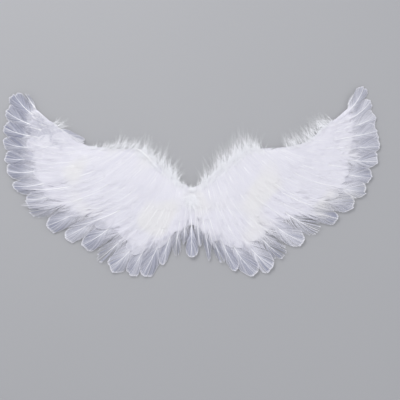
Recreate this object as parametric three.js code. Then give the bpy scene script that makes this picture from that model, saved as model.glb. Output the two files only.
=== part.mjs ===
import * as THREE from 'three';

// A pair of feather angel wings lying on its back, feathers up, tips away from the middle.
// Millimetres, +Z up, +X to the right wing's tips, +Y to the upper tips.

// Overall size over the tips of the feathers
const SPAN = 600;
const HEIGHT = 299;

// Backing board, cut to the shape of both wings
const BOARD_THICKNESS = 2;
const BOARD_STATIONS = 16;

// Flat elastic shoulder bands under the board
const BAND_LENGTH = 105;
const BAND_WIDTH = 15;
const BAND_THICKNESS = 1.5;
const BAND_SPACING = 120;
const BAND_TOP_SHARE = 0.56;

// Gap between pieces that lie on each other
const CLEARANCE = 0.3;

// Long feathers round the outer rim
const FEATHER_WIDTH = 32;
const VANE_THICKNESS = 0.7;
const SHAFT_HEIGHT = 0.5;
const TIP_DROOP_HEIGHT = 3;
const ROOT_DEPTH = 0.8;
const ROOT_WIDTH_SHARE = 0.34;
const TIP_WIDTH_SHARE = 0.3;
const VANE_OPEN_SHARE = 0.45;
const VANE_ROUND_SHARE = 0.8;
const FEATHER_STATIONS = 10;

// Long feather in the middle, over the inner feathers of both wings
const CENTRE_FEATHER_WIDTH = 20;
const CENTRE_ROOT_DEPTH = 0.5;
const CENTRE_REACH = 1.11;

// Rows of short feathers over the roots of the long ones
const COVERT_THICKNESS = 1;
const COVERT_CROWN_HEIGHT = 0.8;
const COLUMNS_PER_COVERT = 4;

// Down trim along the leading edges
const DOWN_LOCK_LENGTH = 20;
const DOWN_HEIGHT = 8;
const DOWN_SEAT_SHARE = 0.7;
const DOWN_EDGE_THICKNESS = 1.5;
const DOWN_SLOPE_SHARE = 0.75;
const DOWN_END_SHARE = 0.5;
const LOCK_WIDTH = 5;
const LOCK_SHORT_SHARE = 0.6;
const NOTCH_SHARE = 0.75;

// Tuft of down in the middle
const TUFT_WIDTH = 13;
const TUFT_OVERHANG = 3;
const TUFT_HEIGHT = 9;
const TUFT_LOCKS = 9;

// Feather lines of a wing from the middle outwards, as shares of half the span and of the height.
// Each runs from the leading edge past its middle point to the rim. board is the share of the line
// that the backing board reaches.
const LINES = [
  { edgeX: 0.008, edgeY: 0.454, middleX: 0.013, middleY: 0.289, tipX: 0.019, tipY: 0.13, board: 0.6 },
  { edgeX: 0.066, edgeY: 0.48, middleX: 0.098, middleY: 0.225, tipX: 0.204, tipY: 0.024, board: 0.58 },
  { edgeX: 0.124, edgeY: 0.533, middleX: 0.193, middleY: 0.225, tipX: 0.415, tipY: 0.029, board: 0.72 },
  { edgeX: 0.193, edgeY: 0.592, middleX: 0.331, middleY: 0.289, tipX: 0.595, tipY: 0.167, board: 0.68 },
  { edgeX: 0.288, edgeY: 0.655, middleX: 0.5, middleY: 0.369, tipX: 0.775, tipY: 0.294, board: 0.75 },
  { edgeX: 0.431, edgeY: 0.66, middleX: 0.653, middleY: 0.475, tipX: 0.923, tipY: 0.438, board: 0.75 },
  { edgeX: 0.569, edgeY: 0.671, middleX: 0.796, middleY: 0.597, tipX: 0.992, tipY: 0.607, board: 0.61 },
  { edgeX: 0.669, edgeY: 0.731, middleX: 0.865, middleY: 0.74, tipX: 0.992, tipY: 0.798, board: 0.51 },
  { edgeX: 0.749, edgeY: 0.809, middleX: 0.86, middleY: 0.878, tipX: 0.897, tipY: 0.995, board: 0.5 },
];

// Long feathers from the middle outwards. at is the share of the way along the wing, reach the share
// of the feather line where the tip ends, and width the share of FEATHER_WIDTH.
const LONG_FEATHERS = {
  left: [
    { at: 0.025, reach: 0.9, width: 0.5 },
    { at: 0.066, reach: 0.89, width: 0.55 },
    { at: 0.105, reach: 0.94, width: 0.6 },
    { at: 0.153, reach: 1.03, width: 0.95 },
    { at: 0.205, reach: 1.0, width: 0.8 },
    { at: 0.25, reach: 1.02, width: 0.95 },
    { at: 0.303, reach: 1.02, width: 0.8 },
    { at: 0.361, reach: 1.0, width: 0.9 },
    { at: 0.415, reach: 1.02, width: 0.9 },
    { at: 0.476, reach: 1.03, width: 1 },
    { at: 0.533, reach: 1.06, width: 0.8 },
    { at: 0.58, reach: 0.99, width: 0.9 },
    { at: 0.633, reach: 0.995, width: 0.95 },
    { at: 0.691, reach: 0.995, width: 0.95 },
    { at: 0.749, reach: 0.985, width: 0.95 },
    { at: 0.8, reach: 0.985, width: 0.9 },
    { at: 0.854, reach: 1.0, width: 0.95 },
    { at: 0.911, reach: 1.06, width: 0.9 },
    { at: 0.963, reach: 1.05, width: 0.9 },
    { at: 1.008, reach: 0.75, width: 0.45 },
  ],
  right: [
    { at: 0.02, reach: 0.97, width: 0.45 },
    { at: 0.062, reach: 0.99, width: 0.55 },
    { at: 0.105, reach: 0.95, width: 0.55 },
    { at: 0.145, reach: 0.99, width: 0.6 },
    { at: 0.19, reach: 1.025, width: 1 },
    { at: 0.25, reach: 1.005, width: 0.95 },
    { at: 0.306, reach: 0.99, width: 0.85 },
    { at: 0.37, reach: 0.99, width: 0.95 },
    { at: 0.43, reach: 0.99, width: 0.95 },
    { at: 0.493, reach: 0.99, width: 1 },
    { at: 0.556, reach: 1.005, width: 1 },
    { at: 0.618, reach: 1.0, width: 1 },
    { at: 0.678, reach: 0.98, width: 0.95 },
    { at: 0.742, reach: 0.985, width: 0.95 },
    { at: 0.8, reach: 1.0, width: 0.95 },
    { at: 0.853, reach: 0.965, width: 0.9 },
    { at: 0.9, reach: 1.0, width: 0.85 },
    { at: 0.942, reach: 1.05, width: 0.6 },
    { at: 0.99, reach: 1.01, width: 0.75 },
    { at: 1.03, reach: 0.62, width: 0.35 },
  ],
};

// Rows of short feathers from the rim inwards. root, tip and scallop are shares of the board's depth,
// and start and end are shares of the way along the wing.
const COVERT_ROWS = [
  { name: 'coverts_outer', root: 0.5, tip: 1.12, scallop: 0.13, start: 0.06, end: 0.99, feathers: 9 },
  { name: 'coverts_middle', root: 0.26, tip: 0.8, scallop: 0.12, start: 0.05, end: 0.985, feathers: 10 },
  { name: 'coverts_inner', root: 0.08, tip: 0.5, scallop: 0.1, start: 0.04, end: 0.98, feathers: 11 },
];

// Stretches of down along the leading edges. locks is the share of DOWN_LOCK_LENGTH.
const DOWN_TRIMS = [
  { name: 'down_left_inner', side: -1, start: 0.05, end: 0.48, locks: 0.95 },
  { name: 'down_left_outer', side: -1, start: 0.5, end: 0.97, locks: 0.6 },
  { name: 'down_right_inner', side: 1, start: 0.05, end: 0.55, locks: 0.8 },
  { name: 'down_right_outer', side: 1, start: 0.7, end: 0.98, locks: 0.7 },
];

const featherWhite = new THREE.MeshStandardMaterial({ color: 0xeeeef4, roughness: 0.85, metalness: 0 });
const downWhite = new THREE.MeshStandardMaterial({ color: 0xf4f4f8, roughness: 0.95, metalness: 0 });
const boardWhite = new THREE.MeshStandardMaterial({ color: 0xe6e5ef, roughness: 0.9, metalness: 0 });
const elasticWhite = new THREE.MeshStandardMaterial({ color: 0xe9e9ea, roughness: 0.8, metalness: 0 });

const SIDES = { left: -1, right: 1 };
const BOARD_BOTTOM = BAND_THICKNESS + CLEARANCE;
const BOARD_TOP = BOARD_BOTTOM + BOARD_THICKNESS;

// Neighbouring long feathers shingle: each lies one step lower than the one nearer the middle
const SHINGLE_STEP = VANE_THICKNESS + SHAFT_HEIGHT + CLEARANCE;
const FAN_AT_ROOT = 0.36;
const FAN_AT_RIM = 1;

function tableValue(row, column) {
  const last = LINES.length - 1;
  if (row < 0) return 2 * LINES[0][column] - LINES[1][column];
  if (row > last) return 2 * LINES[last][column] - LINES[last - 1][column];
  return LINES[row][column];
}

// A feather line anywhere along the wing, on a smooth curve through the rows of the table
function featherLine(along) {
  const place = along * (LINES.length - 1);
  const first = THREE.MathUtils.clamp(Math.floor(place), 0, LINES.length - 2);
  const part = place - first;
  const line = {};
  for (const column of Object.keys(LINES[0])) {
    const [a, b, c, d] = [-1, 0, 1, 2].map((step) => tableValue(first + step, column));
    const rise = (c - a) * part;
    const bow = (2 * a - 5 * b + 4 * c - d) * part ** 2;
    const turn = (3 * b - a - 3 * c + d) * part ** 3;
    line[column] = (2 * b + rise + bow + turn) / 2;
  }
  return line;
}

// The point of a wing at a share along it and a share down the feather line
function wingPoint(side, along, reach) {
  const line = featherLine(along);
  const left = 1 - reach;
  const x = left ** 2 * line.edgeX + 2 * left * reach * line.middleX + reach ** 2 * line.tipX;
  const y = left ** 2 * line.edgeY + 2 * left * reach * line.middleY + reach ** 2 * line.tipY;
  return new THREE.Vector2(side * Math.max(x * SPAN / 2, CLEARANCE), y * HEIGHT);
}

// Straight lines through a list of places and values, continued past both ends
function interpolate(nodes, place) {
  const found = nodes.findIndex((node) => node.place >= place);
  const next = found < 0 ? nodes.length - 1 : Math.max(found, 1);
  const [a, b] = [nodes[next - 1], nodes[next]];
  return a.value + (b.value - a.value) * (place - a.place) / (b.place - a.place);
}

// How many shingle steps a long feather's edge may lie from its shaft
function fanAt(depth) {
  const part = THREE.MathUtils.clamp((depth - ROOT_DEPTH) / (1 - ROOT_DEPTH), 0, 1);
  return THREE.MathUtils.lerp(FAN_AT_ROOT, FAN_AT_RIM, part);
}

// Underside of the long feathers at their shafts: up over the board to its edge, then drooping
function shaftHeight(depth) {
  const droop = TIP_DROOP_HEIGHT * Math.max(depth - 1, 0);
  return BOARD_TOP + CLEARANCE + SHINGLE_STEP * fanAt(depth) - droop;
}

function longFeatherTop(depth) {
  return shaftHeight(depth) + Math.max(SHINGLE_STEP * fanAt(depth), SHAFT_HEIGHT) + VANE_THICKNESS;
}

// Heights of the covert rows' undersides, each row seated on what lies under it
const DEPTHS = [...new Set([0, ROOT_DEPTH, 1, ...COVERT_ROWS.flatMap((row) => [row.root, row.tip])])];
DEPTHS.sort((a, b) => a - b);
const surface = new Map();
for (const depth of DEPTHS) surface.set(depth, depth < ROOT_DEPTH ? BOARD_TOP : longFeatherTop(depth));
const seatOfCentreFeather = [...surface].map(([depth, z]) => ({ place: depth, value: z + CLEARANCE }));
for (const row of COVERT_ROWS) {
  row.nodes = [];
  for (const depth of DEPTHS.filter((value) => value >= row.root && value <= row.tip)) {
    const z = surface.get(depth) + CLEARANCE;
    const swell = COVERT_CROWN_HEIGHT * (depth - row.root) / (row.tip - row.root);
    row.nodes.push({ place: depth, value: z });
    surface.set(depth, z + COVERT_THICKNESS + swell);
  }
}

// A closed body between an upper and a lower grid of points that have the same rows and columns
function closedBody(upper, lower) {
  const rows = upper.length;
  const columns = upper[0].length;
  const points = [...upper.flat(), ...lower.flat()];
  const faces = [];
  const quad = (a, b, c, d) => faces.push([a, b, c], [a, c, d]);
  const top = (row, column) => row * columns + column;
  const bottom = (row, column) => rows * columns + top(row, column);
  for (let row = 0; row < rows - 1; row += 1) {
    for (let column = 0; column < columns - 1; column += 1) {
      quad(top(row, column), top(row + 1, column), top(row + 1, column + 1), top(row, column + 1));
      const [near, far] = [bottom(row, column), bottom(row + 1, column)];
      quad(near, near + 1, far + 1, far);
    }
    quad(top(row, 0), bottom(row, 0), bottom(row + 1, 0), top(row + 1, 0));
    const end = columns - 1;
    quad(top(row, end), top(row + 1, end), bottom(row + 1, end), bottom(row, end));
  }
  for (let column = 0; column < columns - 1; column += 1) {
    quad(top(0, column), top(0, column + 1), bottom(0, column + 1), bottom(0, column));
    const end = rows - 1;
    quad(top(end, column), bottom(end, column), bottom(end, column + 1), top(end, column + 1));
  }
  let volume = 0;
  for (const [a, b, c] of faces) {
    volume += points[a].dot(new THREE.Vector3().crossVectors(points[b], points[c]));
  }
  const outward = volume > 0 ? faces : faces.map(([a, b, c]) => [a, c, b]);
  const geometry = new THREE.BufferGeometry().setFromPoints(points);
  geometry.setIndex(outward.flat());
  geometry.computeVertexNormals();
  return geometry;
}

function above(point, z) {
  return new THREE.Vector3(point.x, point.y, z);
}

// Width of a long feather along its length: a narrow root, a full vane and a rounded tip
function vaneShare(part) {
  const opening = THREE.MathUtils.smoothstep(part, 0, VANE_OPEN_SHARE);
  const closing = THREE.MathUtils.clamp((part - VANE_ROUND_SHARE) / (1 - VANE_ROUND_SHARE), 0, 1);
  const rounding = Math.sqrt(1 - closing ** 2);
  const width = THREE.MathUtils.lerp(ROOT_WIDTH_SHARE, 1, opening);
  return width * THREE.MathUtils.lerp(TIP_WIDTH_SHARE, 1, rounding);
}

// Stations come closer together towards the rounded tip
function stationParts(count) {
  return Array.from({ length: count }, (_, index) => Math.sin(Math.PI / 2 * index / (count - 1)) ** 0.9);
}

// Number of a feather at a share along the wing, with fractions in between
function shingleNumber(feathers, along) {
  const nodes = feathers.map((feather, index) => ({ place: feather.at, value: index }));
  return interpolate(nodes, along);
}

function longFeather(side, feathers, index) {
  const { at, reach, width } = feathers[index];
  const board = featherLine(at).board;
  const root = ROOT_DEPTH * board;
  const upper = [];
  const lower = [];
  for (const part of stationParts(FEATHER_STATIONS)) {
    const down = THREE.MathUtils.lerp(root, reach, part);
    const depth = down / board;
    const probe = 0.01;
    const [before, after] = [wingPoint(side, at - probe, down), wingPoint(side, at + probe, down)];
    const pace = before.distanceTo(after) / (2 * probe);
    const wanted = vaneShare(part) * width * FEATHER_WIDTH / 2 / pace;
    const spread = [-1, 0, 1].map((edge) => {
      let offset = edge * wanted;
      const steps = Math.abs(shingleNumber(feathers, at + offset) - index);
      if (steps > fanAt(depth)) offset *= fanAt(depth) / steps;
      return at + offset;
    });
    const level = shaftHeight(depth);
    const heights = spread.map((along) => level + SHINGLE_STEP * (shingleNumber(feathers, along) - index));
    const places = spread.map((along) => wingPoint(side, along, down));
    lower.push(places.map((place, edge) => above(place, heights[edge])));
    upper.push(places.map((place, edge) => {
      const shaft = edge === 1 ? SHAFT_HEIGHT : 0;
      return above(place, heights[edge] + VANE_THICKNESS + shaft);
    }));
  }
  return closedBody(upper, lower);
}

function centreFeather() {
  const line = featherLine(0);
  const root = CENTRE_ROOT_DEPTH * line.board;
  const upper = [];
  const lower = [];
  for (const part of stationParts(FEATHER_STATIONS)) {
    const down = THREE.MathUtils.lerp(root, CENTRE_REACH, part);
    const depth = down / line.board;
    const half = vaneShare(part) * CENTRE_FEATHER_WIDTH / 2;
    const droop = TIP_DROOP_HEIGHT * Math.max(depth - 1, 0);
    const z = interpolate(seatOfCentreFeather, Math.min(depth, 1)) - droop;
    const y = wingPoint(1, 0, down).y;
    const across = [{ x: -half, shaft: 0 }, { x: 0, shaft: SHAFT_HEIGHT }, { x: half, shaft: 0 }];
    lower.push(across.map(({ x }) => new THREE.Vector3(x, y, z)));
    upper.push(across.map(({ x, shaft }) => new THREE.Vector3(x, y, z + VANE_THICKNESS + shaft)));
  }
  return closedBody(upper, lower);
}

// A row of short feathers joined side by side, with rounded tips and swelling middles
function covertRow(side, row) {
  const columns = row.feathers * COLUMNS_PER_COVERT;
  const upper = [];
  const lower = [];
  for (let column = 0; column <= columns; column += 1) {
    const along = THREE.MathUtils.lerp(row.start, row.end, column / columns);
    const fromMiddle = 2 * ((column / COLUMNS_PER_COVERT) % 1) - 1;
    const crown = 1 - fromMiddle ** 2;
    const tip = row.tip - row.scallop * (1 - crown);
    const board = featherLine(along).board;
    const depths = row.nodes.map((node) => Math.min(node.place, tip));
    lower.push(depths.map((depth) => {
      return above(wingPoint(side, along, depth * board), interpolate(row.nodes, depth));
    }));
    upper.push(depths.map((depth) => {
      const swell = COVERT_CROWN_HEIGHT * crown * (depth - row.root) / (row.tip - row.root);
      const z = interpolate(row.nodes, depth) + COVERT_THICKNESS + swell;
      return above(wingPoint(side, along, depth * board), z);
    }));
  }
  return closedBody(upper, lower);
}

// Backing board: leading edges, outer ends and the edge under the long feathers, in one outline
function backingBoard() {
  const stops = Array.from({ length: BOARD_STATIONS + 1 }, (_, index) => index / BOARD_STATIONS);
  const outline = [];
  for (const side of [1, -1]) {
    const edge = stops.map((along) => wingPoint(side, along, 0));
    const rim = stops.map((along) => wingPoint(side, along, featherLine(along).board));
    const wing = [...edge, ...rim.reverse()];
    outline.push(...(side > 0 ? wing : wing.reverse()));
  }
  const options = { depth: BOARD_THICKNESS, bevelEnabled: false };
  return new THREE.ExtrudeGeometry(new THREE.Shape(outline), options).translate(0, 0, BOARD_BOTTOM);
}

function shoulderBand() {
  const corner = BAND_WIDTH / 4;
  const [halfWidth, halfLength] = [BAND_WIDTH / 2, BAND_LENGTH / 2];
  const shape = new THREE.Shape();
  shape.moveTo(-halfWidth + corner, -halfLength);
  shape.absarc(halfWidth - corner, -halfLength + corner, corner, -Math.PI / 2, 0);
  shape.absarc(halfWidth - corner, halfLength - corner, corner, 0, Math.PI / 2);
  shape.absarc(-halfWidth + corner, halfLength - corner, corner, Math.PI / 2, Math.PI);
  shape.absarc(-halfWidth + corner, -halfLength + corner, corner, Math.PI, Math.PI * 1.5);
  return new THREE.ExtrudeGeometry(shape, { depth: BAND_THICKNESS, bevelEnabled: false, curveSegments: 4 });
}

// Locks of down joined to a padded band that sits on the board's margin
function downTrim(trim) {
  const from = wingPoint(trim.side, trim.start, 0);
  const to = wingPoint(trim.side, trim.end, 0);
  const locks = Math.max(Math.round(from.distanceTo(to) / LOCK_WIDTH / 2), 4);
  const base = BOARD_TOP + CLEARANCE;
  const innerRow = COVERT_ROWS[COVERT_ROWS.length - 1];
  const seatDepth = DOWN_SEAT_SHARE * innerRow.root;
  const upper = [];
  const lower = [];
  for (let index = 0; index <= 2 * locks; index += 1) {
    const part = index / (2 * locks);
    const along = THREE.MathUtils.lerp(trim.start, trim.end, part);
    const place = wingPoint(trim.side, along, 0);
    const seat = wingPoint(trim.side, along, seatDepth * featherLine(along).board);
    const outward = place.clone().sub(seat).normalize();
    const width = place.distanceTo(seat);
    const taper = THREE.MathUtils.lerp(DOWN_END_SHARE, 1, Math.sin(Math.PI * part) ** 0.5);
    const room = Math.min(trim.locks * DOWN_LOCK_LENGTH, NOTCH_SHARE * Math.abs(place.x));
    const reach = room * taper * (index % 2 ? 1 : LOCK_SHORT_SHARE);
    const section = [
      { away: -width, z: DOWN_EDGE_THICKNESS },
      { away: -width / 3, z: DOWN_HEIGHT * taper },
      { away: reach / 2, z: DOWN_HEIGHT * taper * DOWN_SLOPE_SHARE },
      { away: reach, z: DOWN_EDGE_THICKNESS },
    ];
    const places = section.map(({ away }) => place.clone().addScaledVector(outward, away));
    lower.push(places.map((point) => above(point, base)));
    upper.push(places.map((point, step) => above(point, base + section[step].z)));
  }
  return closedBody(upper, lower);
}

// Tuft in the middle: an upright oval heap whose rim is cut into locks
function centreTuft(length) {
  const [halfWidth, halfLength] = [TUFT_WIDTH / 2, length / 2];
  const rings = [
    { share: 1, z: 0 },
    { share: 0.8, z: 0.6 },
    { share: 0.35, z: 1 },
  ];
  const points = 2 * TUFT_LOCKS;
  const shell = rings.map(({ share, z }) => Array.from({ length: points + 1 }, (_, index) => {
    const angle = 2 * Math.PI * (index % points) / points;
    const notch = index % 2 ? 0.8 : 1;
    const width = halfWidth * share * notch * Math.cos(angle);
    const height = halfLength * share * notch * Math.sin(angle);
    return new THREE.Vector3(width, height, z * TUFT_HEIGHT);
  }));
  const positions = shell.flatMap((ring) => ring.slice(0, points));
  const faces = [];
  const at = (ring, index) => ring * points + index % points;
  for (let index = 0; index < points; index += 1) {
    for (let ring = 0; ring < rings.length - 1; ring += 1) {
      faces.push(at(ring, index), at(ring, index + 1), at(ring + 1, index + 1));
      faces.push(at(ring, index), at(ring + 1, index + 1), at(ring + 1, index));
    }
    faces.push(positions.length, at(0, index + 1), at(0, index));
    faces.push(positions.length + 1, at(rings.length - 1, index), at(rings.length - 1, index + 1));
  }
  positions.push(new THREE.Vector3(0, 0, 0), new THREE.Vector3(0, 0, TUFT_HEIGHT));
  const geometry = new THREE.BufferGeometry().setFromPoints(positions);
  geometry.setIndex(faces);
  geometry.computeVertexNormals();
  return geometry;
}

const wings = new THREE.Group();

function addPiece(name, geometry, material) {
  const piece = new THREE.Mesh(geometry, material);
  piece.name = name;
  wings.add(piece);
  return piece;
}

addPiece('backing_board', backingBoard(), boardWhite);

for (const [name, side] of Object.entries(SIDES)) {
  const band = addPiece(`shoulder_band_${name}`, shoulderBand(), elasticWhite);
  band.position.set(side * BAND_SPACING / 2, BAND_TOP_SHARE * HEIGHT - BAND_LENGTH / 2, 0);

  const feathers = LONG_FEATHERS[name];
  feathers.forEach((_, index) => {
    const number = String(index + 1).padStart(2, '0');
    addPiece(`feather_${name}_${number}`, longFeather(side, feathers, index), featherWhite);
  });

  for (const row of COVERT_ROWS) addPiece(`${row.name}_${name}`, covertRow(side, row), featherWhite);
}

addPiece('feather_centre', centreFeather(), featherWhite);

for (const trim of DOWN_TRIMS) addPiece(trim.name, downTrim(trim), downWhite);

const tuftTop = wingPoint(1, 0, 0).y + TUFT_OVERHANG;
const tuftFoot = wingPoint(1, 0, CENTRE_ROOT_DEPTH * featherLine(0).board).y + CLEARANCE;
const tuft = addPiece('down_tuft', centreTuft(tuftTop - tuftFoot), downWhite);
tuft.position.set(0, (tuftTop + tuftFoot) / 2, BOARD_TOP + CLEARANCE);

// The origin is the middle of the underside
const box = new THREE.Box3().setFromObject(wings);
const middle = box.getCenter(new THREE.Vector3());
wings.position.set(-middle.x, -middle.y, -box.min.z);

export default wings;
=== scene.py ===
import math
from collections import namedtuple

import bmesh
import bpy
import numpy as np
from bpy.props import FloatProperty, FloatVectorProperty, IntProperty, PointerProperty
from mathutils import Matrix, Vector
from mathutils.bvhtree import BVHTree
from mathutils.kdtree import KDTree


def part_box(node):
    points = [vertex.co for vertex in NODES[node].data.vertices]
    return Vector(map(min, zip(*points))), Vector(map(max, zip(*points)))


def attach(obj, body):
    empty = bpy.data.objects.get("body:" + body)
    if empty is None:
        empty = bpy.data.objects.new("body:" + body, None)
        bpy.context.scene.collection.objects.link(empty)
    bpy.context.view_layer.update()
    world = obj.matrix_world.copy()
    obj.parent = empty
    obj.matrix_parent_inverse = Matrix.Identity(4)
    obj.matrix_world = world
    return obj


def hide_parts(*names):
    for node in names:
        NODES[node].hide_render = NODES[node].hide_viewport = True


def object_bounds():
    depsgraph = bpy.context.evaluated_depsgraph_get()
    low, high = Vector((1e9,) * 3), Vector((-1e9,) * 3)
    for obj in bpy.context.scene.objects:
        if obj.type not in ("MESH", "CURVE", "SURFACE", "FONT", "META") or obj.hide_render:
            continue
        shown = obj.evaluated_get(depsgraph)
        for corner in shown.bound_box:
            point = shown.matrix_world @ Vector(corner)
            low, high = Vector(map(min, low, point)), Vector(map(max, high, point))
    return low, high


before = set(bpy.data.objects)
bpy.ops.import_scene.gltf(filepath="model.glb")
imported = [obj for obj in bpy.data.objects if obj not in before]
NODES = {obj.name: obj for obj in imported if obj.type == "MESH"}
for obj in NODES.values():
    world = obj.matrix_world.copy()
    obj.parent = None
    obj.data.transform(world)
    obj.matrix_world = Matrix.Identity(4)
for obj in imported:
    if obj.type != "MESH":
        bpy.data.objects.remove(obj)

bl_info = {
    "name": "Feather angel wings",
    "version": (1, 0, 0),
    "blender": (4, 5, 0),
    "location": "3D View > Sidebar > Wings",
    "description": "Lays feathers, down, board and bands over the solid model of a pair of costume wings",
    "category": "Object",
}

CAD_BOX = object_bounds()
SIDES = {"left": -1, "right": 1}
COVERT_ROWS = ("coverts_outer", "coverts_middle", "coverts_inner")
MM = 0.001

# Each kind of piece draws its random numbers from seeds of its own
LONG_FEATHER_SEED = 428
COVERT_SEED = LONG_FEATHER_SEED + 100
DOWN_SEED = LONG_FEATHER_SEED + 200

# Neighbouring short feathers lie this share of a full turn of heights apart, so that none repeat
GOLDEN_SHARE = 0.618

# Stations along the shaft of a long feather and of a short one, and along the leading edge of a wing
LONG_STATIONS = 15
SHORT_STATIONS = 9
EDGE_STATIONS = 401

# Feather lines of a wing from the middle outwards, as shares of half the span and of the height.
# Each runs from the leading edge past its middle point to the rim. board is the share of the line
# that the backing board reaches.
FeatherLine = namedtuple("FeatherLine", "edge_x edge_y middle_x middle_y tip_x tip_y board")
FEATHER_LINES = (
    FeatherLine(0.008, 0.454, 0.013, 0.289, 0.019, 0.130, 0.60),
    FeatherLine(0.066, 0.480, 0.098, 0.225, 0.204, 0.024, 0.58),
    FeatherLine(0.124, 0.533, 0.193, 0.225, 0.415, 0.029, 0.72),
    FeatherLine(0.193, 0.592, 0.331, 0.289, 0.595, 0.167, 0.68),
    FeatherLine(0.288, 0.655, 0.500, 0.369, 0.775, 0.294, 0.75),
    FeatherLine(0.431, 0.660, 0.653, 0.475, 0.923, 0.438, 0.75),
    FeatherLine(0.569, 0.671, 0.796, 0.597, 0.992, 0.607, 0.61),
    FeatherLine(0.669, 0.731, 0.865, 0.740, 0.992, 0.798, 0.51),
    FeatherLine(0.749, 0.809, 0.860, 0.878, 0.897, 0.995, 0.50),
)
BOARD_STATIONS = 16

# How the barbs of a feather lie. Lengths are in metres, and shares are of the feather's length or half
# width. The barbs leave the shaft from bare to last_root, and end round the vane's outline from first_end
# to the tip.
Vane = namedtuple(
    "Vane",
    "barbs segments bare last_root first_end narrow_share open_share root_share round_share blunt wide_side"
    " slant ripple cover_root cover_tip taper splits pull fray slits gap grain camber curl twist"
    " shaft_width shaft_sides",
)
RIM_VANE = Vane(
    barbs=130, segments=5, bare=0.03, last_root=0.66, first_end=0.36, narrow_share=0.0, open_share=0.4,
    root_share=0.7, round_share=0.82, blunt=2.0, wide_side=0.08, slant=0.0, ripple=0.0012, cover_root=1.2,
    cover_tip=1.05, taper=0.1, splits=24, pull=0.2, fray=0.03, slits=1, gap=0.003, grain=0.6, camber=0.0010,
    curl=0.0005, twist=0.06, shaft_width=0.0013, shaft_sides=6,
)
SWEPT_VANE = RIM_VANE._replace(round_share=0.66, blunt=1.7, slant=-0.24, fray=0.05)
LEANING_VANE = RIM_VANE._replace(round_share=0.74, blunt=1.9, slant=0.14)
POINTED_VANE = RIM_VANE._replace(round_share=0.5, blunt=1.5, splits=11, pull=0.5, fray=0.08)
RAGGED_VANE = RIM_VANE._replace(
    last_root=0.6, first_end=0.4, round_share=0.74, blunt=1.8, splits=15, pull=0.95, fray=0.14, slits=2,
    gap=0.002, curl=0.0012)
PADDLE_VANE = RIM_VANE._replace(
    last_root=0.74, first_end=0.2, narrow_share=0.45, open_share=0.84, root_share=0.16, round_share=0.84,
    ripple=0.0, slits=0)
COVERT_VANE = Vane(
    barbs=44, segments=4, bare=0.04, last_root=0.8, first_end=0.3, narrow_share=0.0, open_share=0.35,
    root_share=0.6, round_share=0.35, blunt=1.5, wide_side=0.05, slant=0.0, ripple=0.0, cover_root=1.2,
    cover_tip=0.95, taper=0.5, splits=5, pull=0.3, fray=0.08, slits=0, gap=0.0, grain=0.45, camber=0.0004,
    curl=0.0004, twist=0.04, shaft_width=0.0005, shaft_sides=4,
)
BROAD_VANE = COVERT_VANE._replace(
    barbs=52, round_share=0.55, blunt=1.9, cover_tip=1.1, taper=0.1, splits=3, pull=0.1, fray=0.04,
    grain=0.3, curl=0.0002, shaft_width=0.0004)
STRAND_VANE = COVERT_VANE._replace(
    barbs=42, last_root=0.7, round_share=0.3, blunt=1.4, splits=7, pull=0.8, fray=0.15, curl=0.0010)
CENTRE_VANE = COVERT_VANE._replace(root_share=0.1, open_share=0.6, shaft_width=0.0006)
EDGE_VANE = COVERT_VANE._replace(last_root=0.7, round_share=0.5, camber=0.0008)
FOLD_VANE = RIM_VANE._replace(barbs=70, round_share=0.8, blunt=2.6, slits=0)

# Tone of the first barb after a split: a painted highlight for its edge, which catches the light
PAINTED_HIGHLIGHT_TONE = -1.2

# Long feathers that don't end in a full rounded vane
VANES = {
    "feather_centre": PADDLE_VANE,
    "feather_left_01": POINTED_VANE,
    "feather_left_02": RAGGED_VANE,
    "feather_left_07": RAGGED_VANE,
    "feather_left_11": RAGGED_VANE,
    **{f"feather_left_{number}": SWEPT_VANE for number in range(13, 19)},
    "feather_left_20": RAGGED_VANE,
    "feather_right_01": POINTED_VANE,
    "feather_right_02": POINTED_VANE,
    "feather_right_03": RAGGED_VANE,
    "feather_right_07": RAGGED_VANE,
    "feather_right_09": RAGGED_VANE,
    **{f"feather_right_{number}": LEANING_VANE for number in range(11, 18)},
    "feather_right_20": RAGGED_VANE,
}

# Long feathers whose fine tips end before the solid's, or past it, as a share of the feather line
TIP_SHIFTS = {
    "feather_centre": 0.03, "feather_left_01": -0.06, "feather_right_01": -0.07,
    **{f"feather_left_{number}": 0.026 for number in range(13, 19)},
}

# How far the tips of some long feathers of the left wing bend upwards, in millimetres
TIP_BENDS = dict(zip((f"feather_left_{number}" for number in range(12, 19)), (2, 3, 4, 5, 5, 5, 4)))

# How thin the vanes look past the board, at shares of the way along each wing. This scales the painted shade
# that stands for the dark seen through them.
VEIL_SHADE_SHARES = {
    "left": ((0.0, 0.9), (0.7, 1.0), (0.95, 1.25)),
    "right": ((0.0, 1.0), (0.65, 0.95), (0.85, 0.6), (1.0, 0.65)),
}

# The middle of the cream patch on the left wing's short feathers, how far from it the patch starts and is
# full, and how much it adds to the warmth there
CREAM_PLACE = (-0.058, -0.060, 0.008)
CREAM_REACH = (0.055, 0.015)
CREAM_WARMTH = 0.26

# How far the short feathers of each wing lean from the feather lines towards its tip, as a share of the
# wing's length over the depth of the board
SWEEPS = {-1: 0.10, 1: 0.05}

# Of the short feathers past the inner row, every so many has a thick shaft that shows
BOLD_SHAFTS = 4
BOLD_SHAFT_WIDTH = 0.0012

# Feathers along the leading edge that show by themselves: one near the left wing's wrist, whose thin tip
# stands out past the edge, and one whose shaft shows along the down
# Their veil share is painted shade for the dark seen through the thin vane, on the part that lies past the
# edge
EdgeFeather = namedtuple("EdgeFeather", "side start end reach_start reach_end width lift veil shaft")
EDGE_FEATHERS = (
    EdgeFeather("left", 0.955, 0.800, -0.080, -0.104, 0.012, 0.0, 0.8, 0.0006),
    EdgeFeather("left", 0.51, 0.30, -0.012, 0.030, 0.008, 0.0025, 0.35, 0.0016),
)

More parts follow.
